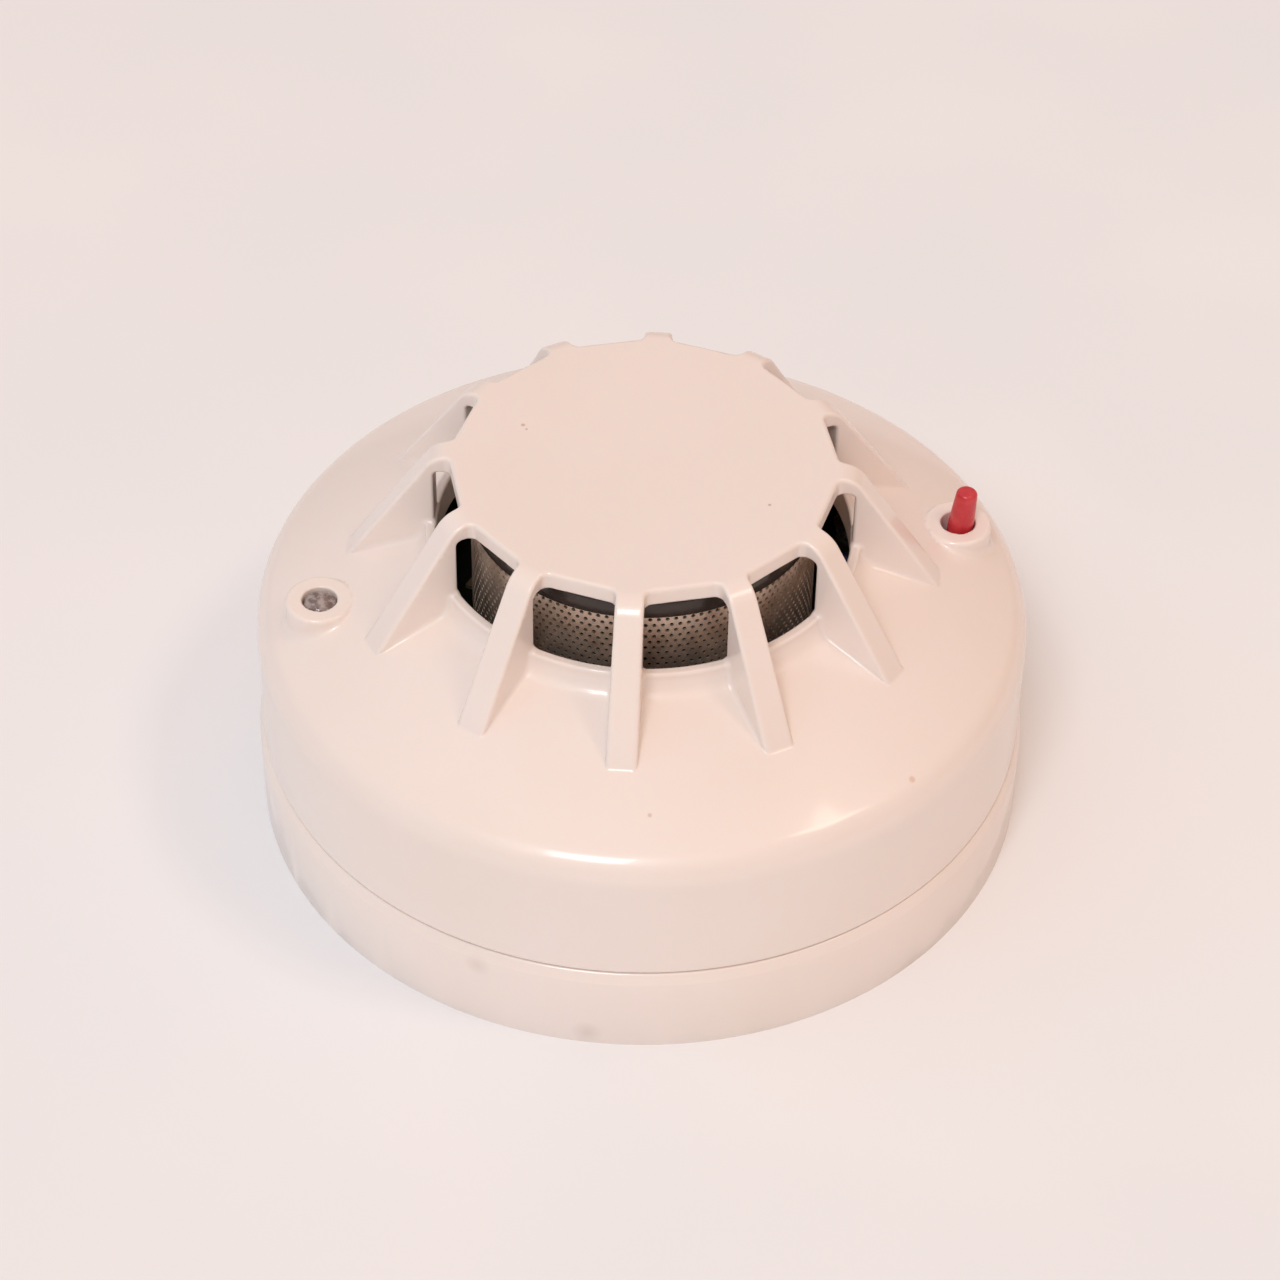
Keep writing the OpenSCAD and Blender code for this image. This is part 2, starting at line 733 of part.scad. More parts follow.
module sleeve(r, h) {
  difference() {
    cylinder(r = r + 0.35, h = h);
    translate([0, 0, -1]) cylinder(r = r + 0.05, h = h + 2);
  }
}

module capacitor_sleeves() {
  color("#20263a") {
    on_board(60, part_x) sleeve(3.6, 8.8);
    on_board(118, part_x) sleeve(2.8, 6.8);
  }
}

module chip_components() {
  color("#8a7a62") {
    for (a = [20, 27, 98, 104, 140, 162, 168, 174, 222, 262, 268, 280, 320, 326])
      on_board(a, near_x) chip(1.2, 2, 0.6);
    for (a = [10, 60, 66, 105, 118, 124, 195, 240, 246, 292, 298, 345])
      on_board(a, far_x) chip(1.2, 2, 0.6);
  }
}

module programming_header() {
  color("#1b1b1d") on_board(185, part_x) difference() {
    chip(2.5, 10.2, 2.5);
    for (i = [-1.5:1.5]) translate([0, i * lead_pitch, -1]) cylinder(r = 0.45, h = 5);
  }
}

module header_pins() {
  color("#d0b25a") on_board(185, part_x) for (i = [-1.5:1.5]) translate([0, i * lead_pitch, 0])
    cylinder(r = 0.35, h = 8.5);
}

mounting_base();
terminal_contacts();
terminal_screws();
wire_clamps();
head_cover();
head_back();
contact_blades();
blade_rivets();
cover_screws();
circuit_board();
board_screws();
chamber_base();
chamber_cover();
insect_screen();
infrared_emitter();
photodiode();
photodiode_shield();
sensing_thermistor();
reference_thermistor();
status_lamp();
lamp_leads();
lamp_spacer();
test_switch();
switch_cover();
switch_plunger();
test_button();
microcontroller();
line_driver_chip();
bridge_rectifier();
capacitors();
capacitor_sleeves();
chip_components();
programming_header();
header_pins();
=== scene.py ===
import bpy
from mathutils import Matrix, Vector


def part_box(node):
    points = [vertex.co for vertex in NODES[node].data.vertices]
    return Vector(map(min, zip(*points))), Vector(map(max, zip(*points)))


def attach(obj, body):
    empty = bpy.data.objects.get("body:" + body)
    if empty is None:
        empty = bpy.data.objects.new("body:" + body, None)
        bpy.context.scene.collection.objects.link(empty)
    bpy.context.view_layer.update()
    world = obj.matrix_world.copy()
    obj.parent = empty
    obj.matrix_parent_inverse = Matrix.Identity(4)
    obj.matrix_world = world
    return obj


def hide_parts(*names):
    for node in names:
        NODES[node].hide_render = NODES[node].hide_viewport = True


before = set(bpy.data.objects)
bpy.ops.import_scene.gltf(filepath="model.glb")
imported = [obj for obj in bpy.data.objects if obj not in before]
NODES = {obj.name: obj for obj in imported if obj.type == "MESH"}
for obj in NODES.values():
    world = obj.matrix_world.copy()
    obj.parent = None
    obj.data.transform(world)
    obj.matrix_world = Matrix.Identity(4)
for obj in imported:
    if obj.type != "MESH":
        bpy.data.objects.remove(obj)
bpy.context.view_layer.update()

import math
from types import SimpleNamespace

import bpy
import numpy as np
from bpy.props import FloatProperty, IntProperty, PointerProperty, StringProperty
from bpy.types import Operator, Panel, PropertyGroup
from mathutils import Matrix, Vector

bl_info = {
    "name": "Fire Detector Head",
    "version": (1, 0, 0),
    "blender": (4, 5, 0),
    "location": "View3D > Sidebar > Detector",
    "description": "Dresses the CAD frame of a vented fire detector and its mounting base",
    "category": "Object",
}

MM = 0.001


# ---------- sizes and colours ----------

def cad_span(node):
    """Lowest and highest corner of a CAD node, in millimetres."""
    return [[value / MM for value in corner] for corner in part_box(node)]


COVER_LOW, COVER_HIGH = cad_span("head_cover")
SCREEN_LOW, SCREEN_HIGH = cad_span("insect_screen")
LID_LOW, LID_HIGH = cad_span("chamber_cover")
LAMP_LOW, LAMP_HIGH = cad_span("status_lamp")
BUTTON_LOW = cad_span("test_button")[0]


def length(name, default, description):
    """A length property. Its default is given in millimetres and kept in metres."""
    return FloatProperty(name=name, description=description, default=default * MM, unit="LENGTH", precision=5)


def angle(name, default, description):
    """An angle property. Its default is given in degrees and kept in radians."""
    return FloatProperty(name=name, description=description, default=math.radians(default), unit="ROTATION")


def colour(name, default, description):
    """A colour property, kept as an sRGB hex value such as #f5e1d6."""
    return StringProperty(name=name, description=description, default=default)


def in_mm(group):
    """The values of a property group by name, with its lengths in millimetres."""
    values = {}
    for key in type(group).__annotations__:
        scale = MM if group.bl_rna.properties[key].unit == "LENGTH" else 1
        values[key] = getattr(group, key) / scale if scale == MM else getattr(group, key)
    return SimpleNamespace(**values)


class DetectorCover(PropertyGroup):
    """Sizes of the head cover moulding"""
    outer: length("Outer radius", COVER_HIGH[0], "Radius of the cover's side")
    edge_z: length("Lower edge", COVER_LOW[2], "Height of the cover's lower edge above the mounting face")
    top_z: length("Top", COVER_HIGH[2], "Height of the vent disc's top above the mounting face")
    wall: length("Wall", 2.2, "Thickness of the cover's wall")
    side: length("Side height", 17.7, "Height of the side, up to where the dome would meet it")
    shoulder: length("Shoulder radius", 4.5, "Radius of the round shoulder between side and dome")
    dome_rise: length("Dome rise", 9.5, "Rise of the dome from the side to the collar")
    collar: length("Collar radius", 28.0, "Outer radius of the collar round the vent")
    opening: length("Opening radius", 26.7, "Inner radius of the collar")
    collar_rise: length("Collar height", 2.7, "Height of the collar above the dome")
    collar_fillet: length("Collar fillet", 2.8, "Radius of the fillet at the collar's foot")
    disc: length("Disc thickness", 2.5, "Thickness of the disc over the vent")
    disc_reach: length("Disc reach", 24.3, "Distance from the axis to the disc's edge in a window")
    fin_inner: length("Fin inner end", 26.85, "Distance from the axis to a fin's inner end in a window")
    fin_crest: length("Fin crest", 26.8, "Distance from the axis to where the slope meets the top")
    fin_foot: length("Fin foot", 38.4, "Distance from the axis to a fin's foot")
    fin_top_width: length("Fin width at the disc", 3.5, "Thickness of a fin at the disc")
    fin_foot_width: length("Fin width at the foot", 4.0, "Thickness of a fin at its foot")
    fin_bend: length("Fin bend radius", 4.0, "Radius of the bend at the top of a fin")
    boss_x: length("Boss distance", 42.2, "Distance of the two bosses from the axis")
    boss: length("Boss radius", 4.4, "Radius of a boss")
    boss_hole: length("Boss hole radius", 2.25, "Radius of the hole in a boss")
    fins: IntProperty(name="Fins", description="Number of fins", default=12, min=8, max=16)


class DetectorVent(PropertyGroup):
    """Sizes of the insect screen and the chamber cover behind the vent"""
    screen: length("Screen radius", SCREEN_HIGH[0], "Outer radius of the insect screen")
    screen_thick: length("Screen thickness", 0.3, "Thickness of the insect screen")
    screen_low: length("Screen foot", SCREEN_LOW[2], "Height of the screen's lower edge")
    screen_high: length("Screen top", SCREEN_HIGH[2], "Height of the screen's upper edge")
    hole: length("Hole diameter", 0.54, "Diameter of one hole in the screen")
    pitch: length("Hole pitch", 1.085, "Distance between holes in one row")
    row: length("Row pitch", 0.935, "Distance between two rows of holes")
    lid: length("Lid radius", LID_HIGH[0], "Radius of the black chamber cover")
    lid_low: length("Lid underside", LID_LOW[2], "Height of the lid's lip")
    lid_high: length("Lid top", LID_HIGH[2], "Height of the lid's top")


class DetectorLampAndButton(PropertyGroup):
    """Sizes of the status lamp and the test button"""
    lamp: length("Lamp radius", 2.1, "Radius of the lamp's lens")
    lamp_base: length("Lamp base", LAMP_LOW[2], "Height of the lamp's flange")
    lamp_tip: length("Lamp tip", LAMP_HIGH[2], "Height of the lamp's tip")
    button_x: length("Button place", 42.65, "Distance of the button from the axis, at its boss")
    button_foot: length("Button radius at the boss", 1.7, "Radius of the button where it leaves the boss")
    button_top: length("Button radius at the top", 1.4, "Radius of the button at its top")
    button_lean: angle("Button lean", 5, "Outward lean of the button")
    button_proud: length("Button height", 5.2, "Height of the button above its boss")


class DetectorColours(PropertyGroup):
    """Colours of the mouldings and fittings, as sRGB hex values"""
    housing: colour("Housing", "#f5eae4", "Warm white of the cover and base")
    button: colour("Button", "#c5303a", "Red of the test button")
    lid: colour("Chamber", "#332c29", "Black of the smoke chamber")
    screen: colour("Screen", "#fdeede", "Warm grey of the insect screen")
    board: colour("Board", "#1b241e", "Near-black green of the circuit board")
    floor: colour("Floor", "#f0f4f8", "Pale grey of the studio floor")


class DetectorStudio(PropertyGroup):
    """Camera and lights"""
    distance: length("Camera distance", 480.7, "Distance from the camera to the point that it looks at")
    aim_z: length("Aim height", 20.2, "Height of the point that the camera looks at")
    elevation: angle("Camera elevation", 43.12, "Camera angle above the horizon")
    azimuth: angle("Camera azimuth", -11.65, "Camera angle round the detector, from its front")
    roll: angle("Camera roll", 0.97, "Camera turn about its own axis")
    lens: FloatProperty(name="Lens", description="Focal length on a 36 mm sensor", default=101.76, min=20)
    aside: length("Camera aside", -0.21, "Sideways shift of the camera")
    up: length("Camera up", 1.565, "Upward shift of the camera")


# ---------- distance fields ----------

def round_union(a, b, radius):
    """Union of two distances, with a fillet where the solids meet."""
    corner = np.hypot(np.maximum(radius - a, 0), np.maximum(radius - b, 0))
    return np.maximum(np.minimum(a, b), radius) - corner


def round_common(a, b, radius):
    """Common part of two distances, with a round edge where the surfaces cross."""
    corner = np.hypot(np.maximum(a + radius, 0), np.maximum(b + radius, 0))
    return np.minimum(np.maximum(a, b), -radius) + corner


def with_arc(distance, x, z, centre, radius, first, second, hollow=False):
    """Puts an exact arc between two surfaces that its centre sees in the directions first and second."""
    dx, dz = x - centre[0], z - centre[1]
    turn = first[0] * second[1] - first[1] * second[0]
    after_first = (first[0] * dz - first[1] * dx) * turn >= 0
    before_second = (dx * second[1] - dz * second[0]) * turn >= 0
    arc = np.hypot(dx, dz) - radius
    return np.where(after_first & before_second, -arc if hollow else arc, distance)


def unit(x, z):
    """The direction (x, z) at length one."""
    size = math.hypot(x, z)
    return x / size, z / size


class CoverShape:
    """Distance in millimetres to the head cover's surface, below zero inside the plastic."""
    crisp = 0.35
    soft_edge = 0.45
    window_corner = 0.8
    fin_root = 0.7
    boss_root = 1.0
    sleeve = 3.9
    sleeve_z = 28.97
    pillar_x, pillar, pillar_hole, pillar_z = 36, 3, 1.15, 13.25
    pillar_turns = (90, 210, 330)

    def __init__(self, sizes):
        s = self.s = sizes
        side_z = s.edge_z + s.side
        crown_z = side_z + s.dome_rise
        self.sill_z = crown_z + s.collar_rise
        self.disc_z = s.top_z - s.disc
        rise = s.outer ** 2 - s.collar ** 2 + side_z ** 2 - crown_z ** 2
        self.dome_z = rise / (2 * (side_z - crown_z))
        self.dome = math.hypot(s.outer, side_z - self.dome_z)
        shoulder_x = s.outer - s.shoulder
        self.shoulder = (shoulder_x, self.dome_height(shoulder_x, -s.shoulder))
        foot_x = s.collar + s.collar_fillet
        self.foot = (foot_x, self.dome_height(foot_x, s.collar_fillet))
        self.boss_z = self.dome_height(s.boss_x - s.boss)
        self.half = math.pi / s.fins
        drop = s.top_z - self.dome_height(s.fin_foot)
        self.slope = unit(drop, s.fin_foot - s.fin_crest)

    def dome_height(self, x, offset=0):
        """Height of the dome at radius x, or of a surface offset from it."""
        return self.dome_z + math.sqrt((self.dome + offset) ** 2 - x ** 2)

    def body(self, rho, z):
        """Solid dome and side with the round shoulder."""
        s = self.s
        body = np.maximum(np.hypot(rho, z - self.dome_z) - self.dome, rho - s.outer)
        rim = unit(self.shoulder[0], self.shoulder[1] - self.dome_z)
        return with_arc(body, rho, z, self.shoulder, s.shoulder, (1, 0), rim)

    def shell(self, rho, z):
        """The thin shell with the vent's collar and opening."""
        s = self.s
        body = self.body(rho, z)
        collar = round_common(rho - s.collar, z - self.sill_z, self.crisp)
        inward = unit(-self.foot[0], self.dome_z - self.foot[1])
        outer = with_arc(np.minimum(body, collar), rho, z, self.foot, s.collar_fillet, (-1, 0), inward, True)
        shell = np.maximum(outer, -(body + s.wall))
        shell = round_common(shell, s.opening - rho, self.crisp)
        return round_common(shell, s.edge_z - z, self.crisp)

    def above_wall(self, rho, z):
        """Keeps what stands on the dome above the middle of its wall."""
        return self.dome - self.s.wall / 2 - np.hypot(rho, z - self.dome_z)

    def vent(self, rho, turn, z):
        """The disc and its fins, all cut by the fins' sloping outline."""
        s = self.s
        off = np.mod(turn, 2 * self.half) - self.half
        along, across = rho * np.cos(off), np.abs(rho * np.sin(off))
        share = np.clip((along - s.disc_reach) / (s.fin_foot - s.disc_reach), 0, 1)
        width = s.fin_top_width + share * (s.fin_foot_width - s.fin_top_width)
        under_disc = np.maximum(s.disc_reach - along, self.disc_z - z)
        inner = round_union(s.fin_inner - along, under_disc, self.window_corner)
        fin = round_common(across - width / 2, inner, self.crisp)
        # From the middle of the collar's wall out, the fin's underside falls away into the dome
        inside = np.maximum(along - s.opening - 0.6, 0)
        fin = round_common(fin, self.sill_z - s.collar_rise - z - 9 * inside, self.crisp)
        edge = rho * np.cos(self.half - np.abs(off)) - s.disc_reach
        plate = round_common(edge, self.disc_z - z, self.crisp)
        vent = round_union(fin, plate, self.window_corner)
        ahead, above = along - s.fin_crest, z - s.top_z
        outline = np.maximum(above, ahead * self.slope[0] + above * self.slope[1])
        bend_x = s.fin_crest - s.fin_bend * math.tan(math.atan2(*self.slope) / 2)
        bend = (bend_x, s.top_z - s.fin_bend)
        outline = with_arc(outline, along, z, bend, s.fin_bend, (0, 1), self.slope)
        vent = round_common(vent, outline, self.soft_edge)
        return np.maximum(vent, self.above_wall(rho, z))

    def with_boss(self, cover, x, y, z, rho, side):
        """Adds a boss and its sleeve on one side, and bores them."""
        s = self.s
        away = np.hypot(x - side * s.boss_x, y)
        boss = round_common(away - s.boss, z - self.boss_z, self.soft_edge)
        boss = np.maximum(boss, self.above_wall(rho, z))
        dome = self.dome_z + np.sqrt(np.maximum(self.dome ** 2 - rho ** 2, 0))
        # The fillet shrinks where the boss stands low over the dome
        root = np.clip((self.boss_z - dome) * 0.8, 0.03, self.boss_root)
        cover = round_union(cover, boss, root)
        tube = np.maximum(away - self.sleeve, np.maximum(self.sleeve_z - z, z - self.boss_z + 1))
        return round_common(np.minimum(cover, tube), s.boss_hole - away, 0.25)

    def with_pillar(self, cover, x, y, z, rho, degrees):
        """Adds one of the screw pillars that hang inside the cover."""
        turn = math.radians(degrees)
        away = np.hypot(x - self.pillar_x * math.cos(turn), y - self.pillar_x * math.sin(turn))
        pillar = np.maximum(away - self.pillar, self.pillar_z - z)
        pillar = np.maximum(pillar, -self.above_wall(rho, z))
        hole = np.maximum(away - self.pillar_hole, z - self.pillar_z - 11)
        return np.maximum(np.minimum(cover, pillar), -hole)

    def __call__(self, points):
        """Distance at points, an array whose last axis holds x, y and z."""
        x, y, z = points[..., 0], points[..., 1], points[..., 2]
        rho, turn = np.hypot(x, y), np.arctan2(y, x)
        # The fins' fillet tightens towards their feet, which end almost in a crease
        root = self.fin_root * np.clip((self.s.fin_foot - rho) / 4, 0.15, 1)
        cover = round_union(self.shell(rho, z), self.vent(rho, turn, z), root)
        for side in (-1, 1):
            cover = self.with_boss(cover, x, y, z, rho, side)
        for degrees in self.pillar_turns:
            cover = self.with_pillar(cover, x, y, z, rho, degrees)
        return cover


def steps(*stretches):
    """Grid lines through stretches of (start, end, spacing), the last end included."""
    lines = [np.linspace(a, b, max(1, round((b - a) / gap)), endpoint=False) for a, b, gap in stretches]
    return np.concatenate(lines + [[stretches[-1][1]]])


def cover_turns(shape):
    """Grid angles: close together at the fins' sides, the bosses and the pillars."""
    half = math.degrees(shape.half)
    side = steps((0, 2.4, 0.8), (2.4, 5.1, 0.34), (5.1, 7.5, 0.8), (7.5, half, 1.5))
    turns = [fin * 2 * half + half + way * side for fin in range(shape.s.fins) for way in (-1, 1)]
    turns += [np.arange(-6.5, 6.6, 0.5) + middle for middle in (0, 180)]
    turns += [np.arange(-5.6, 5.7, 0.8) + middle for middle in shape.pillar_turns]
    turns = np.unique(np.round(np.mod(np.concatenate(turns), 360), 3))
    keep = np.concatenate([[True], np.diff(turns) > 0.17])
    return np.radians(turns[keep])


def skin(field, radii, turns, heights):
    """Points and faces of a field's zero surface, on a grid of cylinders, half planes and levels."""
    r, t, z = np.meshgrid(radii, turns, heights, indexing="ij")
    grid = np.stack([r * np.cos(t), r * np.sin(t), z], axis=-1)
    value = field(grid)
    count = np.array([len(radii) - 1, len(turns), len(heights) - 1])
    total = np.zeros((*count, 4))
    corners = []
    for axis in range(3):
        ahead = np.roll(value, -1, axis)
        crossing = (value < 0) != (ahead < 0)
        if axis != 1:
            crossing[tuple(slice(-1, None) if n == axis else slice(None) for n in range(3))] = False
        at = np.argwhere(crossing)
        if axis == 2:
            at = at[at[:, 0] > 0]
        following = at.copy()
        following[:, axis] = (following[:, axis] + 1) % value.shape[axis]
        low, high = value[tuple(at.T)], value[tuple(following.T)]
        share = (low / (low - high))[:, None]
        point = grid[tuple(at.T)] * (1 - share) + grid[tuple(following.T)] * share
        point = np.concatenate([point, np.ones_like(share)], axis=1)
        ring = []
        for back in ((0, 0), (1, 0), (1, 1), (0, 1)):
            cell = at.copy()
            cell[:, (axis + 1) % 3] -= back[0]
            cell[:, (axis + 2) % 3] -= back[1]
            cell[:, 1] %= count[1]
            np.add.at(total, tuple(cell.T), point)
            ring.append(np.ravel_multi_index(tuple(cell.T), count))
        ring = np.stack(ring, axis=1)
        ring[low >= 0] = ring[low >= 0][:, ::-1]
        corners.append(ring)
    used = total[..., 3].ravel() > 0
    number = np.cumsum(used) - 1
    points = total.reshape(-1, 4)[used]
    points = points[:, :3] / points[:, 3:]
    faces = number[np.concatenate(corners)].tolist()
    middle = value[0, 0]
    for level in np.nonzero((middle[:-1] < 0) != (middle[1:] < 0))[0]:
        share = middle[level] / (middle[level] - middle[level + 1])
        height = heights[level] * (1 - share) + heights[level + 1] * share
        cells = np.ravel_multi_index((0, np.arange(count[1]), level), count)
        rim = number[cells]
        centre = len(points)
        points = np.vstack([points, [0, 0, height]])
        pairs = zip(rim, np.roll(rim, -1))
        fan = [(centre, int(a), int(b)) for a, b in pairs]
        faces += fan if middle[level] < 0 else [face[::-1] for face in fan]
    return points, faces


def gradient(field, points, reach=0.02):
    """Direction in which the field grows, at each point."""
    ways = [field(points + step) - field(points - step) for step in np.eye(3) * reach]
    return np.stack(ways, axis=-1) / (2 * reach)


def settle(field, points, rounds=3, most=0.35):
    """Moves points onto the field's zero surface, and returns them with their normals."""
    for _ in range(rounds):
        way = gradient(field, points)
        size = np.maximum((way ** 2).sum(axis=1), 0.25)
        move = (field(points) / size)[:, None] * way
        far = np.linalg.norm(move, axis=1, keepdims=True)
        points = points - move * np.minimum(1, most / np.maximum(far, 1e-9))
    way = gradient(field, points)
    return points, way / np.maximum(np.linalg.norm(way, axis=1, keepdims=True), 1e-9)


# ---------- meshes ----------

def new_piece(name, points, faces, body, material, replaced, normals=None):
    """A mesh object from points in millimetres that rides on a body and stands for CAD nodes."""
    mesh = bpy.data.meshes.new(name)
    mesh.from_pydata((np.asarray(points) * MM).tolist(), [], faces)
    mesh.validate()
    mesh.shade_smooth()
    mesh.materials.append(material)
    if normals is not None:
        mesh.normals_split_custom_set_from_vertices(normals.tolist())
    piece = bpy.data.objects.new(name, mesh)
    bpy.context.scene.collection.objects.link(piece)
    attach(piece, body)
    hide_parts(*replaced)
    return piece


def arc(x, z, radius, start, end, count):
    """Points on an arc in a turned outline, between two angles in degrees."""
    turns = np.radians(np.linspace(start, end, count + 1))
    return [(x + radius * math.cos(turn), z + radius * math.sin(turn)) for turn in turns]


def spin(outline, around):
    """Points and faces of an outline of (radius, height) spun about the axis, where it starts and ends."""
    turns = np.linspace(0, 2 * math.pi, around, endpoint=False)
    points, rows = [], []
    for radius, height in outline:
        if radius < 1e-6:
            rows.append([len(points)] * around)
            points.append((0, 0, height))
        else:
            rows.append(list(range(len(points), len(points) + around)))
            points += [(radius * math.cos(turn), radius * math.sin(turn), height) for turn in turns]
    faces = []
    for low, high in zip(rows, rows[1:]):
        for n in range(around):
            ring = [low[n], low[(n + 1) % around], high[(n + 1) % around], high[n]]
            faces.append(tuple(dict.fromkeys(ring)))
    return np.array(points), faces


def screen_mesh(vent):
    """Points and faces of the rolled screen: staggered rows of holes through a thin sheet."""
    around = round(2 * math.pi * vent.screen / vent.pitch)
    rows = round((vent.screen_high - vent.screen_low) / vent.row)
    row = (vent.screen_high - vent.screen_low) / rows
    turn = 2 * math.pi / around
    corner_x = (0.5, 0.5, 0.25, 0, -0.25, -0.5, -0.5, -0.5, -0.25, 0, 0.25, 0.5)
    corner_z = (0, 0.5, 0.5, 0.5, 0.5, 0.5, 0, -0.5, -0.5, -0.5, -0.5, -0.5)
    hole_turn = np.radians(np.arange(12) * 30)
    index, flat, faces = {}, [], []

    def corner(quarter, half_row, point):
        """Number of a sheet point that neighbouring cells share."""
        key = (quarter % (4 * around), half_row)
        if key not in index:
            index[key] = len(flat)
            flat.append(point)
        return index[key]

    holes = []
    for level in range(rows):
        for cell in range(around):
            quarters = 4 * cell + 2 * (level % 2)
            middle_turn, middle_z = quarters * turn / 4, vent.screen_low + (level + 0.5) * row
            outside = [
                corner(quarters + round(4 * dx), 2 * level + 1 + round(2 * dz),
                       (middle_turn + dx * turn, middle_z + dz * row))
                for dx, dz in zip(corner_x, corner_z)
            ]
            inside = list(range(len(flat), len(flat) + 12))
            radius = vent.hole / 2
            flat += [(middle_turn + radius * math.cos(a) / vent.screen, middle_z + radius * math.sin(a))
                     for a in hole_turn]
            holes.append(inside)
            for n in range(12):
                m = (n + 1) % 12
                faces.append((outside[n], outside[m], inside[m], inside[n]))
    flat = np.array(flat)
    size = len(flat)
    points = []
    for radius in (vent.screen, vent.screen - vent.screen_thick):
        x, y = radius * np.cos(flat[:, 0]), radius * np.sin(flat[:, 0])
        points.append(np.stack([x, y, flat[:, 1]], axis=1))
    back = [tuple(size + n for n in face[::-1]) for face in faces]
    walls = []
    for ring in holes:
        for n in range(12):
            a, b = ring[n], ring[(n + 1) % 12]
            walls.append((a, b, size + b, size + a))
    for half_row, way in ((0, 1), (2 * rows, -1)):
        rim = sorted(key[0] for key in index if key[1] == half_row)
        for a, b in zip(rim, rim[1:] + rim[:1]):
            a, b = index[(a, half_row)], index[(b, half_row)]
            walls.append((a, size + a, size + b, b)[::way])
    return np.vstack(points), faces + back + walls


def soften(node, width):
    """Gives a CAD node's edges a small moulded or broken radius."""
    weld = node.modifiers.new("Weld", "WELD")
    weld.merge_threshold = 0.002 * MM
    bevel = node.modifiers.new("Edges", "BEVEL")
    bevel.width = width * MM
    bevel.segments = 2
    bevel.limit_method = "ANGLE"
    bevel.angle_limit = math.radians(40)
    bevel.harden_normals = True


# ---------- finishes ----------

def linear(hexadecimal, alpha=1.0):
    """An sRGB hex colour as the linear values that a shader takes."""
    parts = [int(hexadecimal[n:n + 2], 16) / 255 for n in (1, 3, 5)]
    return [p / 12.92 if p <= 0.04045 else ((p + 0.055) / 1.055) ** 2.4 for p in parts] + [alpha]


def add(tree, kind, inputs=None, **settings):
    """Adds a node: settings are its own options, and inputs are values or another node's outputs."""
    made = tree.nodes.new("ShaderNode" + kind)
    for name, value in settings.items():
        setattr(made, name, value)
    for name, value in (inputs or {}).items():
        if isinstance(value, bpy.types.NodeSocket):
            tree.links.new(value, made.inputs[name])
        else:
            made.inputs[name].default_value = value
    return made


def start(name, base, roughness, **inputs):
    """A new material and its shader, with the named inputs set. Names use _ for a space."""
    material = bpy.data.materials.new(name)
    material.use_nodes = True
    shader = material.node_tree.nodes["Principled BSDF"]
    shader.inputs["Base Color"].default_value = linear(base)
    shader.inputs["Roughness"].default_value = roughness
    for key, value in inputs.items():
        shader.inputs[key.replace("_", " ")].default_value = value
    return material, material.node_tree, shader


def per_metre(size):
    """Texture scale for a pattern whose features are size millimetres apart."""
    return 1 / (size * MM)


def grain(tree, shader, size, depth, detail=2.0):
    """A fine surface grain: bumps about size millimetres apart and depth millimetres deep."""
    place = add(tree, "TexCoord").outputs["Object"]
    noise = add(tree, "TexNoise", {"Vector": place, "Scale": per_metre(size), "Detail": detail})
    bump = add(tree, "Bump", {"Height": noise.outputs["Fac"], "Distance": depth * MM, "Strength": 1.0})
    tree.links.new(bump.outputs["Normal"], shader.inputs["Normal"])
    return place


def vary(tree, shader, place, size, base, other, low=0.35, high=0.65, detail=2.0):
    """Blends the base colour towards another in soft patches about size millimetres across."""
    noise = add(tree, "TexNoise", {"Vector": place, "Scale": per_metre(size), "Detail": detail})
    ramp = add(tree, "ValToRGB", {"Fac": noise.outputs["Fac"]})
    ramp.color_ramp.elements[0].position, ramp.color_ramp.elements[1].position = low, high
    ramp.color_ramp.elements[0].color, ramp.color_ramp.elements[1].color = linear(base), linear(other)
    tree.links.new(ramp.outputs["Color"], shader.inputs["Base Color"])
    return ramp.outputs["Color"]


def wear(tree, shader, place, size, smooth, rough):
    """Varies the roughness between two values in patches about size millimetres across."""
    noise = add(tree, "TexNoise", {"Vector": place, "Scale": per_metre(size), "Detail": 3.0})
    spread = add(tree, "MapRange", {"Value": noise.outputs["Fac"], "From Min": 0.3, "From Max": 0.7,
                                    "To Min": smooth, "To Max": rough})
    tree.links.new(spread.outputs["Result"], shader.inputs["Roughness"])


def mark(tree, under, place, spot, size, tint, strength, blur):
    """Lays a small mark over a colour: spot is its place in millimetres."""
    away = add(tree, "VectorMath", {0: place, 1: [value * MM for value in spot]}, operation="DISTANCE")
    near = add(tree, "MapRange", {"Value": away.outputs["Value"], "From Min": size * (1 - blur) * MM,
                                  "From Max": size * (1 + blur) * MM, "To Min": strength, "To Max": 0.0})
    mixed = add(tree, "Mix", {"Factor": near.outputs["Result"], 6: under, 7: linear(tint)}, data_type="RGBA")
    return mixed.outputs[2]


# Small dark specks moulded into the plastic: place and radius, in millimetres
SPECKS = (
    ((-14.0, 9.5, 53.6), 0.26, "#c98a63", 0.6), ((-13.7, 8.6, 53.6), 0.16, "#c08a66", 0.6),
    ((13.7, -11.3, 53.6), 0.2, "#b39c88", 0.7), ((26.1, -40.5, 31.7), 0.4, "#dba893", 0.5),
    ((-7.5, -43.0, 34.1), 0.26, "#c7a291", 0.5),
)
# Faint grey finger smudges on the base's side
SMUDGES = (
    ((-16.2, -48.4, 1.8), 1.1, "#b9a79d", 0.3), ((-29.0, -41.9, 10.0), 1.0, "#c4b2a8", 0.25),
    ((-50.0, -10.0, 6.0), 1.3, "#cdbdb4", 0.25),
)


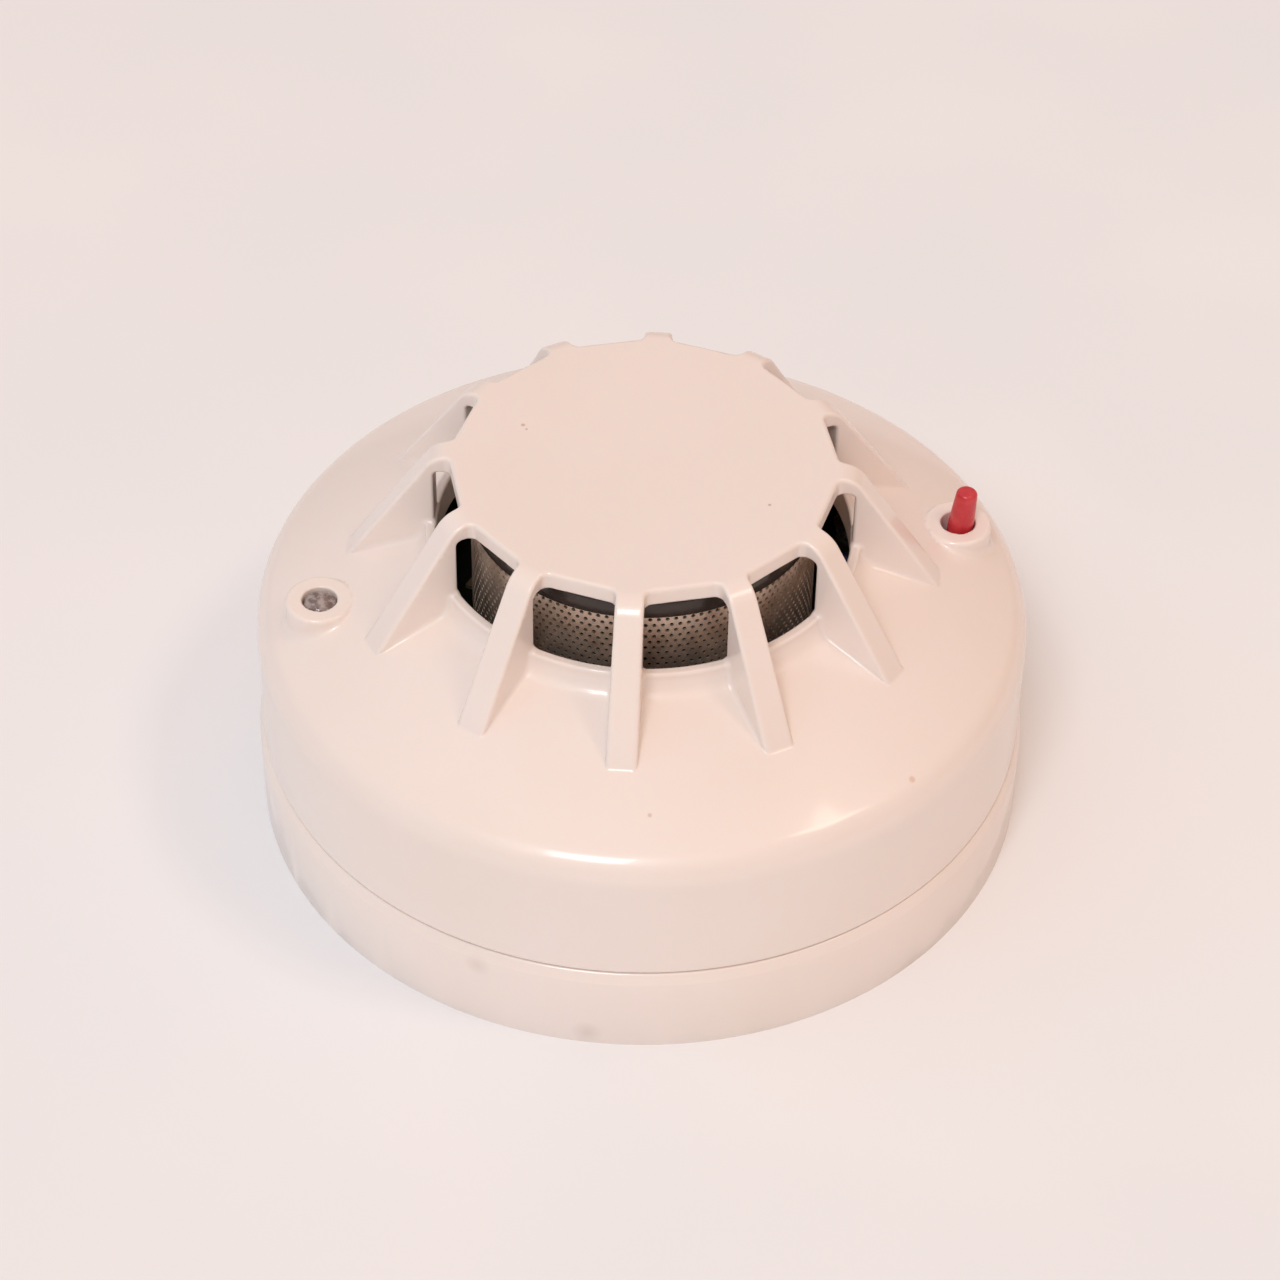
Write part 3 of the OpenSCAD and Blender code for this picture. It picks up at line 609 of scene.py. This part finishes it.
def moulded_abs(name, base):
    """ABS, injection moulded in a lightly etched tool: warm white, with a soft satin sheen."""
    # An even satin skin: broad soft highlights, faint flow clouds, and dust that stuck to it
    material, tree, shader = start(name, base, 0.36, IOR=1.53, Coat_Weight=0.55, Coat_Roughness=0.1)
    shader.inputs["Subsurface Weight"].default_value = 0.12
    shader.inputs["Subsurface Radius"].default_value = (1.0, 0.55, 0.35)
    shader.inputs["Subsurface Scale"].default_value = 1.2 * MM
    # The tool's etching is about 0.05 mm, too fine to show, so it is drawn at 0.35 mm
    place = grain(tree, shader, 0.35, 0.0012)
    clouded = vary(tree, shader, place, 26, base, "#f2e7df", 0.42, 0.75)
    for spot, size, tint, strength in SPECKS:
        clouded = mark(tree, clouded, place, spot, size, tint, strength, 0.35)
    for spot, size, tint, strength in SMUDGES:
        clouded = mark(tree, clouded, place, spot, size, tint, strength, 0.9)
    tree.links.new(clouded, shader.inputs["Base Color"])
    wear(tree, shader, place, 14, 0.32, 0.42)
    return material


def polished_black_abs(base):
    """ABS, injection moulded in a polished tool: deep black, with sharp lights along its rim."""
    material, tree, shader = start("Polished black ABS", base, 0.14, IOR=1.53)
    place = grain(tree, shader, 1.5, 0.001)
    wear(tree, shader, place, 6, 0.12, 0.24)
    return material


def chamber_black_abs(base):
    """Black ABS, moulded matt so that stray light dies in the chamber."""
    material, tree, shader = start("Matt black ABS", base, 0.62, IOR=1.53)
    place = grain(tree, shader, 0.4, 0.01)
    vary(tree, shader, place, 5, base, "#1d1d20")
    return material


def etched_screen_steel(base):
    """Stainless foil, photo etched and tinted by heat: a warm grey metal with a dull grain."""
    material, tree, shader = start("Etched stainless foil", base, 0.4, Metallic=0.9)
    place = grain(tree, shader, 0.25, 0.003)
    vary(tree, shader, place, 2.5, base, "#e9d4c3", 0.3, 0.75, 4.0)
    wear(tree, shader, place, 3, 0.36, 0.5)
    return material


def red_abs(base):
    """Red ABS, moulded in a plain tool: strong even red with a soft shine."""
    material, tree, shader = start("Red ABS", base, 0.3, IOR=1.53)
    shader.inputs["Subsurface Weight"].default_value = 0.15
    shader.inputs["Subsurface Radius"].default_value = (1.0, 0.2, 0.15)
    shader.inputs["Subsurface Scale"].default_value = 0.6 * MM
    place = grain(tree, shader, 0.3, 0.003)
    vary(tree, shader, place, 1.5, base, "#d5444b", 0.4, 0.75)
    wear(tree, shader, place, 2, 0.25, 0.4)
    return material


def clear_epoxy(name, tint, cloud):
    """Epoxy, cast round the lamp: clear, smoky inside, with a bright glint on its tip."""
    material, tree, shader = start(name, tint, 0.07, IOR=1.5, Transmission_Weight=0.55)
    place = grain(tree, shader, 1.1, 0.03)
    vary(tree, shader, place, 0.9, tint, cloud, 0.4, 0.62)
    return material


def metal(name, base, other, roughness, size, depth=0.003):
    """A plated, pressed or turned metal: a clean sheen broken by fine tool marks."""
    material, tree, shader = start(name, base, roughness, Metallic=1.0)
    place = grain(tree, shader, size, depth)
    vary(tree, shader, place, 3, base, other)
    wear(tree, shader, place, 2, roughness * 0.8, roughness * 1.3)
    return material


def solder_masked_laminate(base):
    """Glass-epoxy board under a near-black solder mask: semi-gloss, with the weave just showing."""
    material, tree, shader = start("Solder-masked laminate", base, 0.35, IOR=1.55)
    place = add(tree, "TexCoord").outputs["Object"]
    # Glass cloth has about two threads to a millimetre
    weave = add(tree, "TexChecker", {"Vector": place, "Scale": per_metre(0.5)})
    bump = add(tree, "Bump", {"Height": weave.outputs["Fac"], "Distance": 0.004 * MM})
    tree.links.new(bump.outputs["Normal"], shader.inputs["Normal"])
    vary(tree, shader, place, 7, base, "#151c17")
    return material


def plain_moulding(name, base, other, roughness, size=0.3, depth=0.004, ior=1.55):
    """A moulded, dipped or fired body: an even skin with slight clouding."""
    material, tree, shader = start(name, base, roughness, IOR=ior)
    place = grain(tree, shader, size, depth)
    vary(tree, shader, place, 3, base, other)
    return material


def studio_paper(base):
    """Background paper, matt coated: even and almost without shine."""
    material, tree, shader = start("Matt background paper", base, 0.9, IOR=1.45)
    # Paper fibre is about 0.1 mm; it is drawn at 2 mm so that it can be seen at all
    place = grain(tree, shader, 2.0, 0.01)
    vary(tree, shader, place, 60, base, "#f4f6f9")
    return material


def paint(node, material):
    """Puts a finish on every slot of a CAD node."""
    slots = NODES[node].data.materials
    for n in range(len(slots)):
        slots[n] = material


# ---------- operators ----------

def sizes(context, group):
    """The named property group of the scene, in millimetres."""
    return in_mm(getattr(context.scene, "detector_" + group))


class DETECTOR_OT_head_cover(Operator):
    """Build the domed head cover with its collar, fins, disc, bosses and pillars"""
    bl_idname = "detector.head_cover"
    bl_label = "Head Cover"

    def execute(self, context):
        cover = sizes(context, "cover")
        shape = CoverShape(cover)
        # Grid lines stand close together where the surface bends
        radii = steps((0, 20, 5), (20, 23, 1), (23, 30.5, 0.34), (30.5, 37.4, 0.6), (37.4, 47.2, 0.41),
                      (47.2, 50, 0.5), (50, 51, 0.25))
        heights = steps((12.3, 13.5, 0.24), (13.5, 27, 1.5), (27, 42, 0.42), (42, 43.6, 0.3),
                        (43.6, 50.4, 0.85), (50.4, 54.3, 0.3))
        points, faces = skin(shape, radii, cover_turns(shape), heights)
        points, normals = settle(shape, points)
        material = moulded_abs("Warm white moulded ABS", sizes(context, "colours").housing)
        new_piece("cover_moulding", points, faces, "head", material, ["head_cover"], normals)
        return {"FINISHED"}


class DETECTOR_OT_mounting_base(Operator):
    """Finish the mounting base and the head's back moulding"""
    bl_idname = "detector.mounting_base"
    bl_label = "Mounting Base"

    def execute(self, context):
        material = moulded_abs("Warm white base ABS", sizes(context, "colours").housing)
        for node in ("mounting_base", "head_back"):
            paint(node, material)
            soften(NODES[node], 0.15)
        return {"FINISHED"}


class DETECTOR_OT_insect_screen(Operator):
    """Build the rolled screen with its staggered holes"""
    bl_idname = "detector.insect_screen"
    bl_label = "Insect Screen"

    def execute(self, context):
        points, faces = screen_mesh(sizes(context, "vent"))
        material = etched_screen_steel(sizes(context, "colours").screen)
        piece = new_piece("etched_screen", points, faces, "head", material, ["insect_screen"])
        piece.data.set_sharp_from_angle(angle=math.radians(40))
        return {"FINISHED"}


class DETECTOR_OT_chamber(Operator):
    """Build the chamber's glossy cover and finish its matt base"""
    bl_idname = "detector.chamber"
    bl_label = "Smoke Chamber"

    def execute(self, context):
        vent, colours = sizes(context, "vent"), sizes(context, "colours")
        lip, rim_z = vent.screen - vent.screen_thick - 1.2, vent.screen_high
        top, edge, hollow = 0.6, 0.2, 0.7
        lip_z = vent.lid_low if vent.lid_low > rim_z else rim_z + hollow
        outline = [(0, vent.lid_high), (vent.lid - 3.2, vent.lid_high)]
        outline += [(vent.lid - 2.6, vent.lid_high - 0.12), (vent.lid - 1.5, vent.lid_high - 0.12)]
        outline += [(vent.lid - 1.2, vent.lid_high)]
        outline += arc(vent.lid - top, vent.lid_high - top, top, 90, 0, 6)
        outline += arc(vent.lid - edge, rim_z + edge, edge, 0, -90, 3)
        outline += [(lip, rim_z), (lip, lip_z), (0, rim_z + hollow)]
        points, faces = spin(outline[::-1], 192)
        material = polished_black_abs(colours.lid)
        piece = new_piece("chamber_lid", points, faces, "head", material, ["chamber_cover"])
        piece.data.set_sharp_from_angle(angle=math.radians(40))
        paint("chamber_base", chamber_black_abs(colours.lid))
        return {"FINISHED"}


class DETECTOR_OT_status_lamp(Operator):
    """Build the clear lamp's lens with its flange"""
    bl_idname = "detector.status_lamp"
    bl_label = "Status Lamp"

    def execute(self, context):
        lamp, cover = sizes(context, "lamp_and_button"), sizes(context, "cover")
        r, base, tip = lamp.lamp, lamp.lamp_base, lamp.lamp_tip
        outline = [(0, base), (r + 0.35, base)] + arc(r + 0.3, base + 0.9, 0.1, 0, 90, 3)
        outline += arc(r + 0.12, base + 1.12, 0.12, 270, 180, 3)
        dome = 1.15
        outline += [(x, tip - dome + z * dome / r) for x, z in arc(0, 0, r, 0, 90, 18)[:-1]] + [(0, tip)]
        points, faces = spin(outline, 64)
        points[:, 0] -= cover.boss_x
        lens = clear_epoxy("Clear cast epoxy", "#a8928e", "#f0e2de")
        new_piece("lamp_lens", points, faces, "head", lens, ["status_lamp"])
        return {"FINISHED"}


class DETECTOR_OT_test_button(Operator):
    """Build the leaning red push button with its retaining flange"""
    bl_idname = "detector.test_button"
    bl_label = "Test Button"

    def execute(self, context):
        button, cover = sizes(context, "lamp_and_button"), CoverShape(sizes(context, "cover"))
        tip, low = 0.6, BUTTON_LOW[2]
        flange = (cover.sleeve_z - 0.4 - cover.boss_z) / math.cos(button.button_lean)
        end = (low + 0.05 - cover.boss_z) / math.cos(button.button_lean)
        foot, top = button.button_foot, button.button_top
        outline = [(0, end), (1.1, end), (1.2, end + 0.1), (1.2, flange - 0.8), (2.7, flange - 0.8),
                   (2.9, flange - 0.6), (2.9, flange - 0.15), (2.75, flange), (foot, flange), (foot, 0)]
        rise = button.button_proud
        outline += arc(top - tip, rise - tip, tip, 8, 90, 8) + [(0, rise)]
        points, faces = spin(outline, 72)
        lean = Matrix.Rotation(button.button_lean, 3, "Y")
        points = points @ np.array(lean).T + [button.button_x, 0, cover.boss_z]
        material = red_abs(sizes(context, "colours").button)
        piece = new_piece("push_button", points, faces, "button", material, ["test_button"])
        piece.data.set_sharp_from_angle(angle=math.radians(50))
        return {"FINISHED"}


class DETECTOR_OT_fittings(Operator):
    """Finish the contacts, screws, board, chips and sensors inside"""
    bl_idname = "detector.fittings"
    bl_label = "Inner Fittings"

    def execute(self, context):
        brass = metal("Tin-plated brass", "#c9a862", "#b08d4e", 0.3, 0.4)
        steel = metal("Zinc-plated steel", "#c6c8cb", "#a9acb0", 0.3, 0.5)
        can = metal("Drawn aluminium can", "#c9ccd0", "#b3b6ba", 0.28, 0.3, 0.002)
        black = plain_moulding("Black glass-filled PBT", "#1c1c1e", "#28282b", 0.5)
        smoky = plain_moulding("Smoky cast epoxy", "#2a2c36", "#3d4152", 0.12, 1.5, 0.002, 1.5)
        bead = plain_moulding("Dipped epoxy bead", "#2b3d7a", "#22305f", 0.25, 0.5, 0.006)
        film = plain_moulding("Shrunk PET sleeve", "#1f2639", "#2b3450", 0.22, 2.0, 0.003)
        fired = plain_moulding("Fired ceramic", "#8a7a62", "#a08e72", 0.55, 0.2)
        laminate = solder_masked_laminate(sizes(context, "colours").board)
        finishes = {
            brass: ("terminal_contacts", "contact_blades", "blade_rivets", "header_pins"),
            steel: ("terminal_screws", "wire_clamps", "cover_screws", "board_screws", "lamp_leads",
                    "photodiode_shield", "switch_cover"),
            can: ("capacitors",),
            black: ("lamp_spacer", "test_switch", "switch_plunger", "microcontroller", "line_driver_chip",
                    "bridge_rectifier", "programming_header"),
            smoky: ("infrared_emitter", "photodiode"),
            bead: ("sensing_thermistor", "reference_thermistor"),
            film: ("capacitor_sleeves",),
            fired: ("chip_components",),
            laminate: ("circuit_board",),
        }
        for material, nodes in finishes.items():
            for node in nodes:
                paint(node, material)
        for node in ("terminal_contacts", "terminal_screws", "wire_clamps", "cover_screws", "contact_blades"):
            soften(NODES[node], 0.06)
        return {"FINISHED"}


# Distance of the softboxes from the detector, in metres
SOFTBOX_AWAY = 2.6


def from_camera(studio, azimuth, elevation):
    """Direction to a place round the detector, in degrees from the camera and above the horizon."""
    turn = math.radians(azimuth) + studio.azimuth
    rise = math.radians(elevation)
    return Vector((math.sin(turn) * math.cos(rise), -math.cos(turn) * math.cos(rise), math.sin(rise)))


def softbox(name, studio, azimuth, elevation, size, power, tint):
    """A square softbox that faces the detector. Sizes are in metres, and its power in watts."""
    light = bpy.data.lights.new(name, "AREA")
    light.size, light.energy = size, power
    light.color = linear(tint)[:3]
    lamp = bpy.data.objects.new(name, light)
    away = from_camera(studio, azimuth, elevation)
    lamp.location = away * SOFTBOX_AWAY + Vector((0, 0, 0.03))
    lamp.rotation_mode = "QUATERNION"
    lamp.rotation_quaternion = away.to_track_quat("Z", "Y")
    bpy.context.scene.collection.objects.link(lamp)


def light_room(world, right):
    """A soft room: brighter overhead, and warmer on the camera's right."""
    world.use_nodes = True
    tree = world.node_tree
    way = add(tree, "TexCoord").outputs["Generated"]
    height = add(tree, "SeparateXYZ", {"Vector": way}).outputs["Z"]
    across = add(tree, "VectorMath", {0: way, 1: right}, operation="DOT_PRODUCT")
    side = add(tree, "MapRange", {"Value": across.outputs["Value"], "From Min": -1.0, "From Max": 1.0})
    tint = add(tree, "Mix", {"Factor": side.outputs["Result"], 6: linear("#f4f8ff"), 7: linear("#f0bf9c")},
               data_type="RGBA")
    glow = add(tree, "MapRange", {"Value": height, "From Min": 0.0, "From Max": 1.0,
                                  "To Min": 0.42, "To Max": 0.88})
    background = tree.nodes["Background"]
    tree.links.new(tint.outputs[2], background.inputs["Color"])
    tree.links.new(glow.outputs["Result"], background.inputs["Strength"])


class DETECTOR_OT_stage(Operator):
    """Set the camera, the softboxes and the pale floor"""
    bl_idname = "detector.stage"
    bl_label = "Stage"

    def execute(self, context):
        studio = sizes(context, "studio")
        back = from_camera(studio, 0, math.degrees(studio.elevation))
        right = Vector((math.cos(studio.azimuth), math.sin(studio.azimuth), 0))
        up = back.cross(right)
        camera = bpy.data.objects.new("Camera", bpy.data.cameras.new("Camera"))
        camera.data.sensor_width, camera.data.lens = 36, studio.lens
        place = back * studio.distance + right * studio.aside + up * studio.up
        camera.location = (place + Vector((0, 0, studio.aim_z))) * MM
        turned_right = right * math.cos(studio.roll) + up * math.sin(studio.roll)
        turned_up = back.cross(turned_right)
        camera.rotation_mode = "QUATERNION"
        camera.rotation_quaternion = Matrix((turned_right, turned_up, back)).transposed().to_quaternion()
        camera.data.clip_start, camera.data.clip_end = 0.01, 20
        context.scene.collection.objects.link(camera)
        context.scene.camera = camera

        softbox("Key softbox", studio, -16, 52, 0.75, 21.0, "#ffffff")
        softbox("Right softbox", studio, 74, 58, 0.5, 7.0, "#ffe2cc")
        world = context.scene.world or bpy.data.worlds.new("Studio")
        context.scene.world = world
        light_room(world, right)
        context.scene.view_settings.view_transform = "Standard"

        reach = 3.0
        mesh = bpy.data.meshes.new("floor")
        mesh.from_pydata([(x * reach, y * reach, 0) for x, y in ((-1, -1), (1, -1), (1, 1), (-1, 1))],
                         [], [(0, 1, 2, 3)])
        mesh.materials.append(studio_paper(sizes(context, "colours").floor))
        floor = bpy.data.objects.new("floor", mesh)
        context.scene.collection.objects.link(floor)
        return {"FINISHED"}


STEPS = (
    DETECTOR_OT_stage, DETECTOR_OT_head_cover, DETECTOR_OT_mounting_base, DETECTOR_OT_insect_screen,
    DETECTOR_OT_chamber, DETECTOR_OT_status_lamp, DETECTOR_OT_test_button, DETECTOR_OT_fittings,
)
GROUPS = {
    "cover": DetectorCover, "vent": DetectorVent, "lamp_and_button": DetectorLampAndButton,
    "colours": DetectorColours, "studio": DetectorStudio,
}


class VIEW3D_PT_detector(Panel):
    """Lists the detector's sizes and the steps that build it"""
    bl_idname = "VIEW3D_PT_detector"
    bl_label = "Fire Detector"
    bl_space_type = "VIEW_3D"
    bl_region_type = "UI"
    bl_category = "Detector"

    def draw(self, context):
        for step in STEPS:
            self.layout.operator(step.bl_idname)
        for key, group in GROUPS.items():
            box = self.layout.box()
            box.label(text=group.__doc__)
            for name in group.__annotations__:
                box.prop(getattr(context.scene, "detector_" + key), name)


def register():
    """Registers the property groups, the operators and the panel."""
    for group in (*GROUPS.values(), *STEPS, VIEW3D_PT_detector):
        bpy.utils.register_class(group)
    for key, group in GROUPS.items():
        setattr(bpy.types.Scene, "detector_" + key, PointerProperty(type=group))


def unregister():
    """Takes all of it out again."""
    for key in GROUPS:
        delattr(bpy.types.Scene, "detector_" + key)
    for group in reversed((*GROUPS.values(), *STEPS, VIEW3D_PT_detector)):
        bpy.utils.unregister_class(group)


def main():
    """Builds every piece in order."""
    register()
    for step in STEPS:
        family, name = step.bl_idname.split(".")
        getattr(getattr(bpy.ops, family), name)()


if __name__ == "__main__":
    main()
